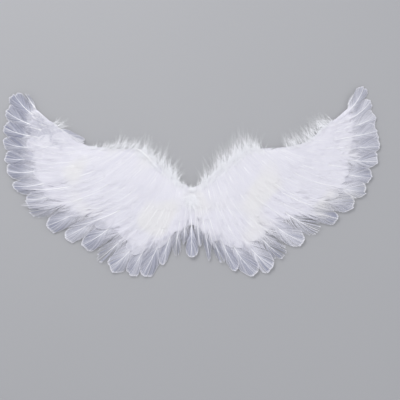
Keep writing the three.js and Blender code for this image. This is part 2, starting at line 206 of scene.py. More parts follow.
# How the wisps of each trim of down stand: how many times as long as the solid's locks, how far they turn
# from straight out, their share of the plumes, how far they go on past the solid's end, and the part of
# the wing's length that stays bare of down
Wisps = namedtuple("Wisps", "stretch turn share past bare_from bare_to", defaults=(0, 2, 2))
WISPS = {
    "down_left_inner": Wisps(2.0, 0.1, 0.4),
    "down_left_outer": Wisps(3.6, 0.4, 0.8, 0, 0.75, 0.93),
    "down_right_inner": Wisps(2.7, -0.5, 0.45),
    "down_right_outer": Wisps(3.8, -0.5, 0.8, 0.1),
}

# Lamps over the middle of the wings, with their share of the key light's power
Lamp = namedtuple("Lamp", "name place size share")
LAMPS = (
    Lamp("key", (-0.7, 1.1, 1.5), 0.9, 1.0),
    Lamp("fill", (1.2, -0.5, 1.6), 1.4, 0.25),
)
SKY_COLOR = (0.93, 0.95, 1.0, 1)

# The camera looks straight down on the middle of the picture
CAMERA_DISTANCE = 1.8
PICTURE_MIDDLE = (0.0132, -0.0330)


class StageSettings(bpy.types.PropertyGroup):
    floor_color: FloatVectorProperty(
        name="Floor", description="Colour of the plain floor", subtype="COLOR", default=(0.34, 0.34, 0.35))
    sky_strength: FloatProperty(
        name="Sky", description="Strength of the light from all round", default=0.79, min=0)
    key_power: FloatProperty(
        name="Key light", description="Power of the large soft light", unit="POWER", default=24)
    picture_width: FloatProperty(
        name="Picture width", description="Width that the picture takes in at the wings", unit="LENGTH",
        default=0.635)


class FeatherSettings(bpy.types.PropertyGroup):
    light_color: FloatVectorProperty(
        name="White", description="Feathers where they catch the light", subtype="COLOR",
        default=(0.88, 0.87, 0.91))
    shade_color: FloatVectorProperty(
        name="Shade", description="Feathers between the barbs", subtype="COLOR", default=(0.78, 0.77, 0.83))
    # Painted shade: the dark seen through a thin vane, painted into its colour past the board
    thin_color: FloatVectorProperty(
        name="Thin vane", description="Vanes with nothing white behind them", subtype="COLOR",
        default=(0.33, 0.34, 0.43))
    cream_color: FloatVectorProperty(
        name="Cream", description="Feathers in the warmer patches", subtype="COLOR",
        default=(0.89, 0.88, 0.87))
    quill_color: FloatVectorProperty(
        name="Shaft", description="Shafts of the feathers", subtype="COLOR", default=(0.98, 0.98, 0.99))
    coverts_a_row: IntProperty(
        name="Feathers a row", description="Short feathers in each row of a wing", default=76, min=8)
    covert_width: FloatProperty(
        name="Short feather width", description="Widest part of a short feather", unit="LENGTH",
        default=0.022)


class DownSettings(bpy.types.PropertyGroup):
    plume_spacing: FloatProperty(
        name="Plume spacing", description="Length of leading edge for each plume of down", unit="LENGTH",
        default=0.00013)
    thin_spacing: FloatProperty(
        name="Thin down", description="How many times the spacing is wider along the outer edges",
        default=2.4, min=1)
    tuft_width: FloatProperty(
        name="Tuft width", description="Length of leading edge that a tuft of down takes", unit="LENGTH",
        default=0.005)
    barb_width: FloatProperty(
        name="Barb width", description="Width of a barb of down at its root", unit="LENGTH",
        default=0.00016)
    down_color: FloatVectorProperty(
        name="Down", description="Colour of the down", subtype="COLOR", default=(0.94, 0.93, 0.96))


class BackSettings(bpy.types.PropertyGroup):
    edge_radius: FloatProperty(
        name="Board edge", description="Rounding of the board's cut edge", unit="LENGTH", default=0.0005)
    felt_color: FloatVectorProperty(
        name="Felt", description="Colour of the felt board", subtype="COLOR", default=(0.80, 0.79, 0.85))
    elastic_color: FloatVectorProperty(
        name="Elastic", description="Colour of the shoulder bands", subtype="COLOR",
        default=(0.82, 0.82, 0.82))
    ribs: IntProperty(name="Ribs", description="Ribs across an elastic band", default=11, min=3)
    stitch_length: FloatProperty(
        name="Stitch", description="Length of a stitch at the ends of a band", unit="LENGTH",
        default=0.0022)


SETTINGS = {
    "wing_stage": StageSettings,
    "wing_feathers": FeatherSettings,
    "wing_down": DownSettings,
    "wing_back": BackSettings,
}


# Shares and curves

def lerp(a, b, part):
    return a + (b - a) * part


def smoothstep(value, low, high):
    part = np.clip((value - low) / (high - low), 0, 1)
    return part * part * (3 - 2 * part)


# Objects

def put(name, data):
    """Puts a new object into the scene."""
    made = bpy.data.objects.new(name, data)
    bpy.context.scene.collection.objects.link(made)
    return made


def mesh_of(bm, name):
    mesh = bpy.data.meshes.new(name)
    bm.to_mesh(mesh)
    bm.free()
    return mesh


def keep(piece, slot, *nodes):
    """Makes a piece part of the object in place of the solids that it stands for."""
    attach(piece, "root")
    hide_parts(*nodes)


# The feather lines, laid into the frame so that the board's outline fills the solid board's box

TABLE = np.array(FEATHER_LINES)
TABLE = np.vstack([2 * TABLE[0] - TABLE[1], TABLE, 2 * TABLE[-1] - TABLE[-2]])


def feather_line(along):
    place = np.asarray(along, float) * (len(FEATHER_LINES) - 1)
    first = np.clip(np.floor(place), 0, len(FEATHER_LINES) - 2).astype(int)
    part = (place - first)[..., None]
    a, b, c, d = (TABLE[first + step] for step in range(4))
    bow = (2 * a - 5 * b + 4 * c - d) * part**2
    turn = (3 * b - a - 3 * c + d) * part**3
    return (2 * b + (c - a) * part + bow + turn) / 2


def board_share(along):
    return feather_line(along)[..., 6]


def share_point(along, reach):
    line = feather_line(along)
    left = 1 - reach
    x = left**2 * line[..., 0] + 2 * left * reach * line[..., 2] + reach**2 * line[..., 4]
    y = left**2 * line[..., 1] + 2 * left * reach * line[..., 3] + reach**2 * line[..., 5]
    return x, y


class WingLayout:
    """Where a share along a wing and a share down its feather line lie in the frame."""

    def __init__(self):
        stops = np.linspace(0, 1, BOARD_STATIONS + 1)
        edge_x, edge_y = share_point(stops, np.zeros_like(stops))
        rim_x, rim_y = share_point(stops, board_share(stops))
        low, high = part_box("backing_board")
        lowest, highest = min(edge_y.min(), rim_y.min()), max(edge_y.max(), rim_y.max())
        self.half_span = (high.x - low.x) / 2 / max(edge_x.max(), rim_x.max())
        self.height = (high.y - low.y) / (highest - lowest)
        self.middle_x = (high.x + low.x) / 2
        self.base_y = low.y - lowest * self.height

    def point(self, side, along, reach):
        x, y = share_point(np.asarray(along, float), np.asarray(reach, float))
        x = self.middle_x + side * x * self.half_span
        return np.stack([x, self.base_y + y * self.height], axis=-1)

    def finder(self):
        """Finds the shares of a place on the right wing."""
        alongs, reaches = np.linspace(-0.08, 1.12, 481), np.linspace(0, 1.2, 401)
        grid = np.array(np.meshgrid(alongs, reaches)).reshape(2, -1).T
        places = self.point(1, grid[:, 0], grid[:, 1])
        tree = KDTree(len(grid))
        for index, (x, y) in enumerate(places):
            tree.insert((x, y, 0), index)
        tree.balance()
        return grid, tree


LAYOUT = WingLayout()
SHARE_GRID, SHARE_TREE = LAYOUT.finder()


def shares_of(points, side):
    """Share along the wing and down the feather line for each point of a node."""
    found = []
    for x, y in points[:, :2]:
        place = (LAYOUT.middle_x + side * (x - LAYOUT.middle_x), y, 0)
        found.append(SHARE_GRID[SHARE_TREE.find(place)[1]])
    return np.array(found)


def node_points(node):
    mesh = NODES[node].data
    points = np.empty(len(mesh.vertices) * 3)
    mesh.vertices.foreach_get("co", points)
    return np.unique(points.reshape(-1, 3).round(6), axis=0)


def node_surface(*nodes):
    corners, faces = [], []
    for node in nodes:
        mesh = NODES[node].data
        faces += [[len(corners) + index for index in polygon.vertices] for polygon in mesh.polygons]
        corners += [vertex.co for vertex in mesh.vertices]
    return BVHTree.FromPolygons(corners, faces)


def tops(surface, places):
    """Height of a solid's upper side at each place, carried on past its edges."""
    hits = [surface.ray_cast((x, y, 1), (0, 0, -1))[0] for x, y in places]
    there = [index for index, hit in enumerate(hits) if hit is not None]
    if not there:
        raise ValueError("no place lies over the solid")
    return np.interp(np.arange(len(hits)), there, [hits[index].z for index in there])


def veil_shade_at_depth(depth):
    """Share of painted shade for the dark that shows through a thin vane, by how little white lies behind
    it: nothing over the board, some past its edge, most at the rim.
    """
    return 0.4 * smoothstep(depth, 0.98, 1.02) + 0.6 * smoothstep(depth, 1.05, 1.35)


def veil_shade_share(side, along):
    places, values = zip(*VEIL_SHADE_SHARES["left" if side < 0 else "right"])
    return np.interp(along, places, values)


# Plumage: many thin barbs and shafts joined in one mesh

class Plumage:
    def __init__(self):
        self.points, self.faces, self.marks, self.uvs, self.finishes = [], [], [], [], []
        self.count = 0

    def add(self, points, faces, marks, uvs, finish=0):
        """points (n, 3), faces (m, 4), marks (n, 3) of tone, rim and veil (painted shade for the dark seen
        through a thin vane), uvs (n, 2)
        """
        self.points.append(points)
        self.faces.append(faces + self.count)
        self.marks.append(marks)
        self.uvs.append(uvs)
        self.finishes.append(np.full(len(faces), finish))
        self.count += len(points)

    def build(self, name, materials):
        points = np.concatenate(self.points)
        faces = np.concatenate(self.faces)
        marks = np.concatenate(self.marks)
        uvs = np.concatenate(self.uvs)
        mesh = bpy.data.meshes.new(name)
        mesh.from_pydata(points.tolist(), [], faces.tolist())
        for column, mark in enumerate(("tone", "rim", "veil")):
            layer = mesh.attributes.new(mark, "FLOAT", "POINT")
            layer.data.foreach_set("value", marks[:, column].astype(np.float32))
        layer = mesh.uv_layers.new(name="UVMap")
        layer.uv.foreach_set("vector", uvs[faces.ravel()].astype(np.float32).ravel())
        mesh.polygons.foreach_set("material_index", np.concatenate(self.finishes).astype(np.int32))
        mesh.polygons.foreach_set("use_smooth", np.ones(len(faces), bool))
        for material in materials:
            mesh.materials.append(material)
        mesh.update()
        return put(name, mesh)


def facing_up(points, faces):
    corners = points[faces]
    normal_z = np.cross(corners[:, 2] - corners[:, 0], corners[:, 3] - corners[:, 1])[:, 2]
    return np.where((normal_z < 0)[:, None], faces[:, ::-1], faces)


def ribbon_faces(ribbons, stations):
    """Quads of ribbons whose points run (ribbon, station, edge)."""
    start = (np.arange(ribbons)[:, None] * stations + np.arange(stations - 1)[None, :]).ravel() * 2
    return np.stack([start, start + 1, start + 3, start + 2], axis=1)


class Spine:
    """A feather's shaft line in plan, with the height and slope of what it lies on."""

    def __init__(self, places, heights, slopes):
        steps = np.linalg.norm(np.diff(places, axis=0), axis=1)
        self.lengths = np.concatenate([[0], np.cumsum(steps)])
        self.places, self.heights, self.slopes = places, heights, slopes
        ahead = np.gradient(places, self.lengths, axis=0)
        ahead /= np.linalg.norm(ahead, axis=1)[:, None]
        self.across = np.stack([-ahead[:, 1], ahead[:, 0]], axis=1)
        self.ahead = ahead

    @property
    def length(self):
        return self.lengths[-1]

    def carry(self, down, out, lift):
        """Points at a length down the shaft, a length out from it and a lift above what it lies on."""
        value = lambda column: np.interp(down, self.lengths, column)
        beyond = np.maximum(down - self.length, 0)
        x = value(self.places[:, 0]) + value(self.across[:, 0]) * out + self.ahead[-1, 0] * beyond
        y = value(self.places[:, 1]) + value(self.across[:, 1]) * out + self.ahead[-1, 1] * beyond
        z = value(self.heights) + value(self.slopes) * out + lift
        return np.stack([x, y, z], axis=-1)


def half_width(part, vane, side):
    width = lerp(vane.root_share, 1, smoothstep(part, vane.narrow_share, vane.open_share))
    shoulder = vane.round_share + side * vane.slant
    closing = np.clip((part - shoulder) / (1 - shoulder), 0, 1)
    return width * (1 - closing**vane.blunt) ** (1 / vane.blunt)


def ripples(rng, part, vane):
    """How far the vane's outline wavers back and forth on its way to the tip."""
    slow, fast = (np.sin(2 * np.pi * (rng.uniform(*turns) * part + rng.random()))
                  for turns in ((1, 2), (3, 5)))
    return vane.ripple * (slow + 0.6 * fast - 1)


def open_slits(rng, part, vane):
    """How far the tips of the barbs lean away from a few slits in a vane."""
    lean = np.zeros_like(part)
    for _ in range(rng.integers(0, vane.slits + 1)):
        away = part - rng.uniform(0.2, 0.75)
        lean += np.sign(away) * vane.gap / 2 * rng.uniform(0.4, 1) * np.exp(-abs(away) / 0.07)
    return lean


def lay_feather(plumage, rng, spine, width, vane, tone, veil_shade_at):
    """Adds a feather: barbs on both sides of its shaft, each a narrow ribbon, and the shaft."""
    length = spine.length
    count, stations = vane.barbs, vane.segments + 1
    even = (np.arange(count) + 0.5) / count
    root = lerp(vane.bare, vane.last_root, even) * length
    outline = lerp(vane.first_end, 1, np.sin(np.linspace(0, np.pi / 2, 241)))
    t = np.linspace(0, 1, stations)[None, :]
    forward, outward = t**1.1, 1 - (1 - t) ** 1.4
    cover = lerp(vane.cover_root, vane.cover_tip, t**2) * (1 - vane.taper * (t == 1))
    for side in (-1, 1):
        edge = width / 2 * (1 + side * vane.wide_side) * half_width(outline, vane, side)
        steps = np.hypot(np.diff(outline) * length, np.diff(edge))
        ends = even * steps.sum()
        run = np.concatenate([[0], np.cumsum(steps)])
        ahead, half = np.interp(ends, run, outline * length), np.interp(ends, run, edge)
        pace_root, pace_ahead, pace_half = np.gradient(root), np.gradient(ahead), np.gradient(half)
        clump = np.searchsorted(np.sort(rng.random(vane.splits)), even)
        members = np.maximum(np.bincount(clump, minlength=vane.splits + 1), 1)
        pull = (vane.pull * rng.uniform(0.4, 1, vane.splits + 1))[clump]
        gather = lambda ends: pull * ((np.bincount(clump, ends, vane.splits + 1) / members)[clump] - ends)
        ahead, half = ahead + gather(ahead) + open_slits(rng, even, vane), half + gather(half)
        ahead = ahead + ripples(rng, even, vane) * smoothstep(even, 0.5, 0.75)
        ahead = np.minimum(ahead, length)
        size = 1 + vane.fray * (rng.normal(size=vane.splits + 1)[clump] + rng.normal(size=count)) / 2
        lift_clump = rng.normal(size=vane.splits + 1)[clump] * vane.curl / 2
        lift = lift_clump + rng.normal(size=count) * vane.curl / 4
        reach = half * size
        middle_down = root[:, None] + (ahead - root)[:, None] * forward
        middle_out = reach[:, None] * outward
        spread = cover * (1 - pull[:, None] * t**2)
        half_down = lerp(pace_root[:, None], pace_ahead[:, None], forward) * spread / 2
        half_out = pace_half[:, None] * outward * spread / 2
        twist = rng.normal(size=count)[:, None] * vane.twist
        down = np.stack([middle_down - half_down, middle_down + half_down], axis=-1)
        out = np.stack([middle_out - half_out, middle_out + half_out], axis=-1)
        breadth = np.stack([-half_down, half_down], axis=-1) * twist[..., None]
        droop = -vane.camber * (out / (width / 2)) ** 2
        rise = droop + lift[:, None, None] * (t**2)[..., None] + breadth
        points = spine.carry(down, side * out, rise).reshape(-1, 3)
        faces = facing_up(points, ribbon_faces(count, stations))
        of_clump, of_barb = rng.normal(size=vane.splits + 1)[clump], rng.normal(size=count)
        shades = tone + vane.grain * (0.5 * of_clump + 0.7 * of_barb)
        # Painted highlight on the first barb of each clump
        shades[np.diff(clump, prepend=-1) > 0] = PAINTED_HIGHLIGHT_TONE
        tones = np.broadcast_to(shades[:, None, None], down.shape)
        rims = np.broadcast_to(t[..., None], down.shape)
        marks = np.stack([tones, rims, veil_shade_at(down, side * out)], axis=-1).reshape(-1, 3)
        across = np.broadcast_to(np.array([0.0, 1.0]), down.shape) + np.arange(count)[:, None, None]
        uvs = np.stack([across, rims], axis=-1).reshape(-1, 2)
        plumage.add(points, faces, marks, uvs)
    lay_shaft(plumage, spine, vane, tone, veil_shade_at)


def lay_shaft(plumage, spine, vane, tone, veil_shade_at):
    """Adds a tapering closed shaft from the root of a feather nearly to its tip."""
    sides, stations = vane.shaft_sides, 9
    part = np.linspace(0, 1, stations)[:, None]
    angle = 2 * np.pi * np.arange(sides)[None, :] / sides
    radius = vane.shaft_width / 2 * lerp(1, 0.22, part)
    down = np.broadcast_to(spine.length * lerp(0, 0.965, part), (stations, sides))
    points = spine.carry(down, radius * np.cos(angle), radius * (np.sin(angle) + 0.6)).reshape(-1, 3)
    ring = np.arange(sides)
    after = (ring + 1) % sides
    faces = []
    for low in sides * np.arange(stations - 1):
        high = low + sides
        faces.append(np.stack([low + ring, low + after, high + after, high + ring], axis=1))
    for corner in range(1, sides - 1, 2):
        root_cap = [0, corner + 2 if corner + 2 < sides else 0, corner + 1, corner]
        tip_cap = [(stations - 1) * sides + c for c in (0, corner, corner + 1, (corner + 2) % sides)]
        faces += [np.array([root_cap]), np.array([tip_cap])]
    faces = np.concatenate(faces)
    a, b, c = (points[faces[:, corner]] - points.mean(0) for corner in range(3))
    faces = faces if np.einsum("ij,ij->", a, np.cross(b, c)) > 0 else faces[:, ::-1]
    tones, veil_shades = np.full(down.shape, tone), veil_shade_at(down, 0 * down)
    marks = np.stack([tones, np.zeros(down.shape), veil_shades], axis=-1).reshape(-1, 3)
    uvs = np.stack([np.broadcast_to(angle, down.shape), down * 100], axis=-1).reshape(-1, 2)
    plumage.add(points, faces, marks, uvs, finish=1)


# Materials

def group(name, inputs, outputs):
    tree = bpy.data.node_groups.new(name, "ShaderNodeTree")
    for label, kind, default in inputs:
        socket = tree.interface.new_socket(label, in_out="INPUT", socket_type=kind)
        if default is not None:
            socket.default_value = default
    for label, kind in outputs:
        tree.interface.new_socket(label, in_out="OUTPUT", socket_type=kind)
    return tree, tree.nodes.new("NodeGroupInput"), tree.nodes.new("NodeGroupOutput")


def maths(tree, operation, first, second):
    node = tree.nodes.new("ShaderNodeMath")
    node.operation = operation
    for socket, value in zip(node.inputs, (first, second)):
        if isinstance(value, (int, float)):
            socket.default_value = value
        else:
            tree.links.new(value, socket)
    return node.outputs[0]


def mix_colors(tree, factor, first, second):
    node = tree.nodes.new("ShaderNodeMix")
    node.data_type = "RGBA"
    for socket, value in ((node.inputs[0], factor), (node.inputs[6], first), (node.inputs[7], second)):
        if isinstance(value, (int, float, tuple)):
            socket.default_value = value
        else:
            tree.links.new(value, socket)
    return node.outputs[2]


def noise(tree, vector, scale, detail=2.0):
    node = tree.nodes.new("ShaderNodeTexNoise")
    node.inputs["Scale"].default_value = scale
    node.inputs["Detail"].default_value = detail
    tree.links.new(vector, node.inputs["Vector"])
    return node.outputs["Fac"]


def map_range(tree, value, given, wanted=(0.0, 1.0), smooth=True):
    """A value that runs over the given range, brought to the wanted one."""
    node = tree.nodes.new("ShaderNodeMapRange")
    node.interpolation_type = "SMOOTHSTEP" if smooth else "LINEAR"
    for label, number in zip(("From Min", "From Max", "To Min", "To Max"), (*given, *wanted)):
        node.inputs[label].default_value = number
    tree.links.new(value, node.inputs["Value"])
    return node.outputs[0]


def object_coords(tree):
    return tree.nodes.new("ShaderNodeTexCoord").outputs["Object"]


def darker(color, share):
    return (*(channel * share for channel in color), 1)


def fibre_group():
    """Fine lines along each barb, from the ribbon's own UV map."""
    tree, given, out = group(
        "Fibre lines",
        [("Vector", "NodeSocketVector", None), ("Across", "NodeSocketFloat", 3.0),
         ("Along", "NodeSocketFloat", 2.0)],
        [("Lines", "NodeSocketFloat")])
    split = tree.nodes.new("ShaderNodeSeparateXYZ")
    join = tree.nodes.new("ShaderNodeCombineXYZ")
    tree.links.new(given.outputs["Vector"], split.inputs[0])
    tree.links.new(maths(tree, "MULTIPLY", split.outputs[0], given.outputs["Across"]), join.inputs[0])
    tree.links.new(maths(tree, "MULTIPLY", split.outputs[1], given.outputs["Along"]), join.inputs[1])
    tree.links.new(noise(tree, join.outputs[0], 1.0), out.inputs["Lines"])
    return tree


def plumage_group():
    """Colour of plumage from its marks: tone of the feather, veil past the board as painted shade for the
    dark seen through thin vanes, rim at the vane's edge where that painted shade is mostly left off.
    """
    tree, given, out = group(
        "Plumage colour",
        [(label, "NodeSocketColor", None) for label in ("White", "Shade", "Thin", "Cream")]
        + [(label, "NodeSocketFloat", 0.0) for label in ("Tone", "Rim", "Veil", "Warmth", "Lines")],
        [("Color", "NodeSocketColor")])
    spread = maths(tree, "MULTIPLY", given.outputs["Tone"], 0.12)
    grain = maths(tree, "MULTIPLY", maths(tree, "SUBTRACT", given.outputs["Lines"], 0.5), 0.35)
    shade = maths(tree, "ADD", maths(tree, "ADD", spread, grain), 0.25)
    limit = tree.nodes.new("ShaderNodeClamp")
    tree.links.new(shade, limit.inputs[0])
    body = mix_colors(tree, limit.outputs[0], given.outputs["White"], given.outputs["Shade"])
    patches = map_range(tree, given.outputs["Warmth"], (0.56, 0.72), (0.0, 0.7))
    body = mix_colors(tree, patches, body, given.outputs["Cream"])
    # Painted shade: the thin-vane colour stands for the dark seen through a thin vane. The veil mark and the
    # barb's tone mix it in, and it is mostly left off at the barb ends, so the rim stays white
    edge = map_range(tree, given.outputs["Rim"], (0.88, 0.97), (1.0, 0.2))
    veil_shade_by_tone = map_range(tree, given.outputs["Tone"], (-1.5, 0.2), (0.1, 1.0), smooth=False)
    thin = maths(tree, "MULTIPLY", edge, maths(tree, "MULTIPLY", veil_shade_by_tone, given.outputs["Veil"]))
    tree.links.new(mix_colors(tree, thin, body, given.outputs["Thin"]), out.inputs["Color"])
    return tree


def attribute(tree, name):
    node = tree.nodes.new("ShaderNodeAttribute")
    node.attribute_name = name
    return node.outputs["Fac"]


def use_group(tree, name):
    node = tree.nodes.new("ShaderNodeGroup")
    node.node_tree = bpy.data.node_groups[name]
    return node


def new_material(name, roughness):
    material = bpy.data.materials.new(name)
    material.use_nodes = True
    shader = material.node_tree.nodes["Principled BSDF"]
    shader.inputs["Roughness"].default_value = roughness
    return material, material.node_tree, shader


def bump_from(tree, height, strength, distance, shader):
    bump = tree.nodes.new("ShaderNodeBump")
    bump.inputs["Strength"].default_value = strength
    bump.inputs["Distance"].default_value = distance
    tree.links.new(height, bump.inputs["Height"])
    tree.links.new(bump.outputs[0], shader.inputs["Normal"])


def let_light_through(tree, shader, color, share):
    """Mixes in the light that a thin barb lets through from its far side."""
    far_side = tree.nodes.new("ShaderNodeBsdfTranslucent")
    tree.links.new(color, far_side.inputs["Color"])
    mix = tree.nodes.new("ShaderNodeMixShader")
    mix.inputs[0].default_value = share
    tree.links.new(shader.outputs[0], mix.inputs[1])
    tree.links.new(far_side.outputs[0], mix.inputs[2])
    tree.links.new(mix.outputs[0], tree.nodes["Material Output"].inputs["Surface"])


def plumage_material(name, colors, roughness, across, along, sheen, through):
    material, tree, shader = new_material(name, roughness)
    shader.inputs["Sheen Weight"].default_value = sheen
    shader.inputs["Specular IOR Level"].default_value = 0.25
    uv = tree.nodes.new("ShaderNodeUVMap")
    uv.uv_map = "UVMap"
    lines = use_group(tree, "Fibre lines")
    lines.inputs["Across"].default_value = across
    lines.inputs["Along"].default_value = along
    tree.links.new(uv.outputs[0], lines.inputs["Vector"])
    blend = use_group(tree, "Plumage colour")
    coords = object_coords(tree)
    away = tree.nodes.new("ShaderNodeVectorMath")
    away.operation = "DISTANCE"
    away.inputs[1].default_value = CREAM_PLACE
    tree.links.new(coords, away.inputs[0])
    near = map_range(tree, away.outputs["Value"], CREAM_REACH, (0.0, CREAM_WARMTH))
    tree.links.new(maths(tree, "ADD", noise(tree, coords, 13.0, 1.0), near), blend.inputs["Warmth"])
    for label, color in zip(("White", "Shade", "Thin", "Cream"), colors):
        blend.inputs[label].default_value = (*color, 1)
    for label, mark in (("Tone", "tone"), ("Rim", "rim"), ("Veil", "veil")):
        tree.links.new(attribute(tree, mark), blend.inputs[label])
    tree.links.new(lines.outputs[0], blend.inputs["Lines"])
    tree.links.new(blend.outputs[0], shader.inputs["Base Color"])
    bump_from(tree, lines.outputs[0], 0.3, 0.0001, shader)
    let_light_through(tree, shader, blend.outputs[0], through)
    return material


def quill_material(color):
    material, tree, shader = new_material("quill", 0.38)
    specks = noise(tree, object_coords(tree), 260.0)
    dark = (color[0] * 0.92, color[1] * 0.91, color[2] * 0.89, 1)
    tree.links.new(mix_colors(tree, specks, (*color, 1), dark), shader.inputs["Base Color"])
    return material


def felt_group():
    """Matted fibres of felt: a fine tangle over broad soft clouds."""
    tree, given, out = group(
        "Felt", [("Vector", "NodeSocketVector", None), ("Scale", "NodeSocketFloat", 900.0)],
        [("Fibres", "NodeSocketFloat"), ("Clouds", "NodeSocketFloat")])
    for label, share, detail, distortion in (("Fibres", 1.0, 6.0, 1.6), ("Clouds", 0.04, 3.0, 0.2)):
        tangle = tree.nodes.new("ShaderNodeTexNoise")
        tangle.inputs["Detail"].default_value = detail
        tangle.inputs["Distortion"].default_value = distortion
        tree.links.new(given.outputs["Vector"], tangle.inputs["Vector"])
        tree.links.new(maths(tree, "MULTIPLY", given.outputs["Scale"], share), tangle.inputs["Scale"])
        tree.links.new(tangle.outputs["Fac"], out.inputs[label])
    return tree


def felt_material(color):
    material, tree, shader = new_material("felt", 0.95)
    shader.inputs["Sheen Weight"].default_value = 0.25
    felt = use_group(tree, "Felt")
    tree.links.new(object_coords(tree), felt.inputs["Vector"])
    fibres = mix_colors(tree, felt.outputs["Fibres"], (*color, 1), darker(color, 0.78))
    clouds = mix_colors(tree, felt.outputs["Clouds"], fibres, (*color, 1))
    tree.links.new(clouds, shader.inputs["Base Color"])
    bump_from(tree, felt.outputs["Fibres"], 0.6, 0.0004, shader)
    return material


def elastic_material(color):
    """Knitted cover over rubber threads: ribs along the band and fine courses across it."""
    material, tree, shader = new_material("elastic", 0.8)
    courses = tree.nodes.new("ShaderNodeTexWave")
    courses.bands_direction = "Y"
    courses.inputs["Scale"].default_value = 380.0
    courses.inputs["Distortion"].default_value = 1.2
    courses.inputs["Detail Scale"].default_value = 4.0
    tree.links.new(object_coords(tree), courses.inputs["Vector"])
    threads = mix_colors(tree, courses.outputs["Fac"], darker(color, 0.75), (*color, 1))
    tree.links.new(threads, shader.inputs["Base Color"])
    bump_from(tree, courses.outputs["Fac"], 0.7, 0.0003, shader)
    return material


def material(name):
    """The finish of that name, made when it is first asked for."""
    if name in bpy.data.materials:
        return bpy.data.materials[name]
    scene = bpy.context.scene
    feathers, down, back = scene.wing_feathers, scene.wing_down, scene.wing_back
    builders = {"Fibre lines": fibre_group, "Plumage colour": plumage_group, "Felt": felt_group}
    for label, build in builders.items():
        if label not in bpy.data.node_groups:
            build()
    plumage = [tuple(getattr(feathers, f"{key}_color")) for key in ("light", "shade", "thin", "cream")]
    if name == "feather vane":
        return plumage_material(
            name, plumage, roughness=0.62, across=2.2, along=3.0, sheen=0.15, through=0.25)
    if name == "covert vane":
        return plumage_material(
            name, plumage, roughness=0.72, across=2.2, along=2.0, sheen=0.2, through=0.4)
    if name == "down":
        fluff = [tuple(down.down_color)] + 3 * plumage[:1]
        return plumage_material(
            name, fluff, roughness=0.85, across=1.0, along=2.0, sheen=0.3, through=0.45)
    if name == "quill":
        return quill_material(tuple(feathers.quill_color))
    if name == "felt":
        return felt_material(tuple(back.felt_color))
    return elastic_material(tuple(back.elastic_color))


# Operators

class WING_OT_stage(bpy.types.Operator):
    """Add the floor, the lights and the camera over the wings"""

    bl_idname = "wings.add_stage"
    bl_label = "Add stage"

    def execute(self, context):
        settings = context.scene.wing_stage
        self.add_floor(settings)
        self.add_lights(context, settings)
        self.add_camera(context, settings)
        context.scene.view_settings.view_transform = "Standard"
        return {"FINISHED"}

    def add_floor(self, settings):
        bm = bmesh.new()
        bmesh.ops.create_grid(bm, x_segments=1, y_segments=1, size=4)
        floor = put("floor", mesh_of(bm, "floor"))
        paper, tree, shader = new_material("floor paper", 0.9)
        clouds = noise(tree, object_coords(tree), 3.0)
        color = tuple(settings.floor_color)
        shade = mix_colors(tree, clouds, (*color, 1), darker(color, 0.97))
        tree.links.new(shade, shader.inputs["Base Color"])
        floor.data.materials.append(paper)

    def add_lights(self, context, settings):
        world = bpy.data.worlds.new("studio")
        world.use_nodes = True
        sky = world.node_tree.nodes["Background"]
        sky.inputs["Color"].default_value = SKY_COLOR
        sky.inputs["Strength"].default_value = settings.sky_strength
        context.scene.world = world
        low, high = CAD_BOX
        for lamp in LAMPS:
            light = bpy.data.lights.new(lamp.name, "AREA")
            light.size = lamp.size
            light.energy = settings.key_power * lamp.share
            place = Vector(lamp.place)
            stand = put(lamp.name, light)
            stand.location = (low + high) / 2 + place
            stand.rotation_euler = (-place).to_track_quat("-Z", "Y").to_euler()

    def add_camera(self, context, settings):
        camera = bpy.data.cameras.new("camera")
        camera.lens = camera.sensor_width * CAMERA_DISTANCE / settings.picture_width
        view = put("camera", camera)
        view.location = (*PICTURE_MIDDLE, CAMERA_DISTANCE + CAD_BOX[1].z / 2)
        context.scene.camera = view


class WING_OT_board(bpy.types.Operator):
    """Add the felt backing board with its cut edge rounded"""

    bl_idname = "wings.add_board"
    bl_label = "Add backing board"

    def execute(self, context):
        settings = context.scene.wing_back
        bm = bmesh.new()
        bm.from_mesh(NODES["backing_board"].data)
        bmesh.ops.remove_doubles(bm, verts=bm.verts, dist=1e-6)
        bmesh.ops.dissolve_limit(bm, angle_limit=math.radians(1), verts=bm.verts, edges=bm.edges)
        rims = [e for e in bm.edges if len(e.link_faces) == 2 and e.calc_face_angle() > math.radians(60)
                and abs(e.verts[0].co.z - e.verts[1].co.z) < 1e-5]
        bmesh.ops.bevel(bm, geom=rims, affect="EDGES", offset=settings.edge_radius, segments=2, profile=0.5,
                        material=-1)
        bmesh.ops.triangulate(bm, faces=bm.faces)
        board = put("felt_board", mesh_of(bm, "felt_board"))
        board.data.materials.append(material("felt"))
        keep(board, "backing_board", "backing_board")
        return {"FINISHED"}


